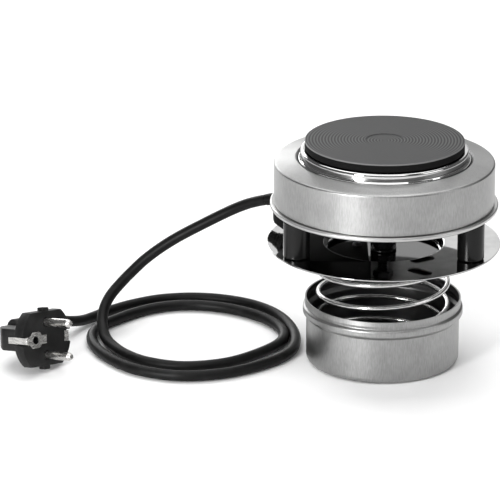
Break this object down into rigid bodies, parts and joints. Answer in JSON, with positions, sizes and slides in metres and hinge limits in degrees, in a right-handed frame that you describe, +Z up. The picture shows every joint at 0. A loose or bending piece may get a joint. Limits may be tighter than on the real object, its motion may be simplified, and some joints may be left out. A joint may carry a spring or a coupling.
{
  "type": "hot plate burner",
  "caption": "Round electric hot plate on a drawn housing, standing on posts over a heat shield that a coil spring carries in a base can, with a cord and an angled earthed plug.",
  "frame": {"origin": "bottom centre of the base can, on the surface that it stands on", "axes": "+Z up through the centre of the hot plate, -X towards the side where the cord and the plug lie"},
  "size_m": [0.2861, 0.158, 0.1316],
  "materials": {
    "cast_iron": "finely turned, matt dark grey",
    "satin_steel": "satin drawn sheet",
    "polished_steel": "bright polished sheet",
    "zinc_plate": "zinc plated",
    "spring_wire": "bright plated wire",
    "black_phenolic": "moulded, semi-gloss black",
    "white_ceramic": "unglazed ceramic",
    "black_rubber": "smooth black",
    "nickel_plate": "nickel plated",
    "brown_insulation": "smooth brown sleeve",
    "blue_insulation": "smooth blue sleeve",
    "earth_insulation": "smooth green and yellow sleeve"
  },
  "bodies": {
    "base": {"base_can": "satin_steel", "spring": "spring_wire", "lower_clip_1": "zinc_plate", "lower_clip_2": "zinc_plate", "lower_clip_rivet_1": "zinc_plate", "lower_clip_rivet_2": "zinc_plate", "cord": "black_rubber", "plug_body": "black_rubber", "plug_boot": "black_rubber", "plug_pin_upper": "nickel_plate", "plug_pin_lower": "nickel_plate", "plug_earth_near": "nickel_plate", "plug_earth_far": "nickel_plate"},
    "head": {"heat_shield": "polished_steel", "upper_clip_1": "zinc_plate", "upper_clip_2": "zinc_plate", "upper_clip_rivet_1": "zinc_plate", "upper_clip_rivet_2": "zinc_plate", "spacer_post_1": "black_phenolic", "spacer_post_2": "black_phenolic", "spacer_post_3": "black_phenolic", "lower_post_screw_1": "zinc_plate", "lower_post_screw_2": "zinc_plate", "lower_post_screw_3": "zinc_plate", "upper_post_screw_1": "zinc_plate", "upper_post_screw_2": "zinc_plate", "upper_post_screw_3": "zinc_plate", "centre_stud": "zinc_plate", "shield_washer": "black_phenolic", "shield_nut": "zinc_plate", "shield_locknut": "zinc_plate", "pan_nut": "zinc_plate", "bracket_nut": "zinc_plate", "clamp_bracket": "zinc_plate", "hot_plate": "cast_iron", "overflow_ring": "polished_steel", "heating_coil": "zinc_plate", "coil_insulation": "white_ceramic", "coil_cover": "zinc_plate", "terminal_insulator": "white_ceramic", "terminal_pin_1": "nickel_plate", "terminal_pin_2": "nickel_plate", "thermal_cutout": "black_phenolic", "housing": "satin_steel", "bottom_pan": "satin_steel", "terminal_cover": "black_phenolic", "cover_screw_1": "zinc_plate", "cover_screw_2": "zinc_plate", "earth_screw": "zinc_plate", "terminal_block": "white_ceramic", "cord_gland": "black_rubber", "core_live": "brown_insulation", "core_neutral": "blue_insulation", "core_earth": "earth_insulation", "wire_live": "brown_insulation", "wire_neutral": "blue_insulation", "wire_link": "brown_insulation"}
  },
  "joints": [
    {"name": "head_press", "type": "slide", "parent": "base", "child": "head", "axis": [0, 0, -1], "range_m": [0, 0.028], "stiffness_N_per_m": 250, "springref_m": -0.036, "deforming": ["spring", "cord"]}
  ]
}
